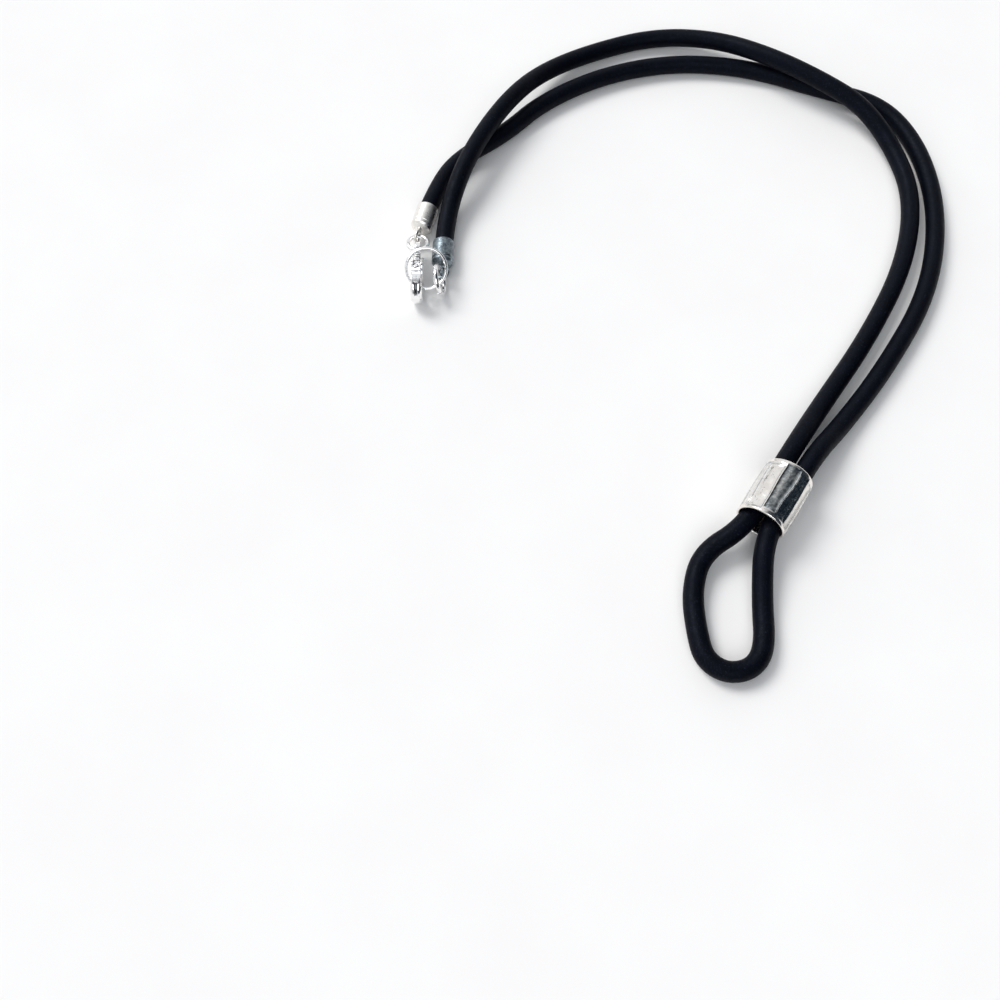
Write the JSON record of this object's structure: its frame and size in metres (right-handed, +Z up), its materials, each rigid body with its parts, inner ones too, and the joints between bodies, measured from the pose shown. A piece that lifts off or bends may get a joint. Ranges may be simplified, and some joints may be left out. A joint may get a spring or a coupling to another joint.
{
  "type": "eyeglass retainer strap",
  "caption": "Round black cord folded double through a silver slider bead, with a temple loop, capped ends, jump rings and a lobster clasp.",
  "frame": {"origin": "middle of the strap's footprint, on the surface it lies on", "axes": "+Z up from the surface, +Y from the temple loop towards the far bend of the neck cord, +X from the clasp towards the bead's side"},
  "size_m": [0.1339, 0.1821, 0.0116],
  "materials": {
    "cord": "matte black with a faint sheen",
    "bead_metal": "hammered antique silver, bright rims",
    "cap_bright": "satin silver",
    "cap_dark": "oxidised silver",
    "ring_metal": "polished silver",
    "clasp_metal": "polished silver",
    "spring_steel": "drawn wire",
    "glue": "cured clear adhesive"
  },
  "bodies": {
    "root": {"cord": "cord", "end_cap_left": "cap_bright", "end_cap_right": "cap_dark", "glue_left": "glue", "glue_right": "glue"},
    "bead": {"slider_bead": "bead_metal"},
    "left_ring": {"jump_ring_left": "ring_metal"},
    "clasp": {"clasp_body": "clasp_metal", "clasp_pin": "ring_metal", "clasp_spring": "spring_steel"},
    "lever": {"clasp_lever": "clasp_metal"},
    "hook_ring": {"closing_ring": "ring_metal"},
    "right_ring": {"jump_ring_right": "ring_metal"}
  },
  "joints": [
    {"name": "bead_slide", "type": "slide", "parent": "root", "child": "bead", "axis": [0.5512, 0.8344, 0], "range_m": [0, 0.006]},
    {"name": "left_ring_swing", "type": "hinge", "parent": "root", "child": "left_ring", "pos_m": [-0.06408, 0.02222, 0.00265], "axis": [-1, 0, 0], "range_deg": [0, 3]},
    {"name": "clasp_swing", "type": "hinge", "parent": "left_ring", "child": "clasp", "pos_m": [-0.0636, 0.0175, 0.0034], "axis": [-1, 0, 0], "range_deg": [0, 3]},
    {"name": "lever_pivot", "type": "hinge", "parent": "clasp", "child": "lever", "pos_m": [-0.0636, 0.0112, 0.0054], "axis": [1, 0, 0], "range_deg": [0, 20], "stiffness_Nm_per_rad": 0.005, "springref_deg": -17.19, "deforming": ["clasp_spring"]},
    {"name": "hook_ring_swing", "type": "hinge", "parent": "clasp", "child": "hook_ring", "pos_m": [-0.0636, 0.0105, 0.00535], "axis": [0, -0.866, -0.5], "range_deg": [0, 6]},
    {"name": "right_ring_swing", "type": "hinge", "parent": "root", "child": "right_ring", "pos_m": [-0.05781, 0.0113, 0.00265], "axis": [-1, 0, 0], "range_deg": [0, 6]}
  ]
}
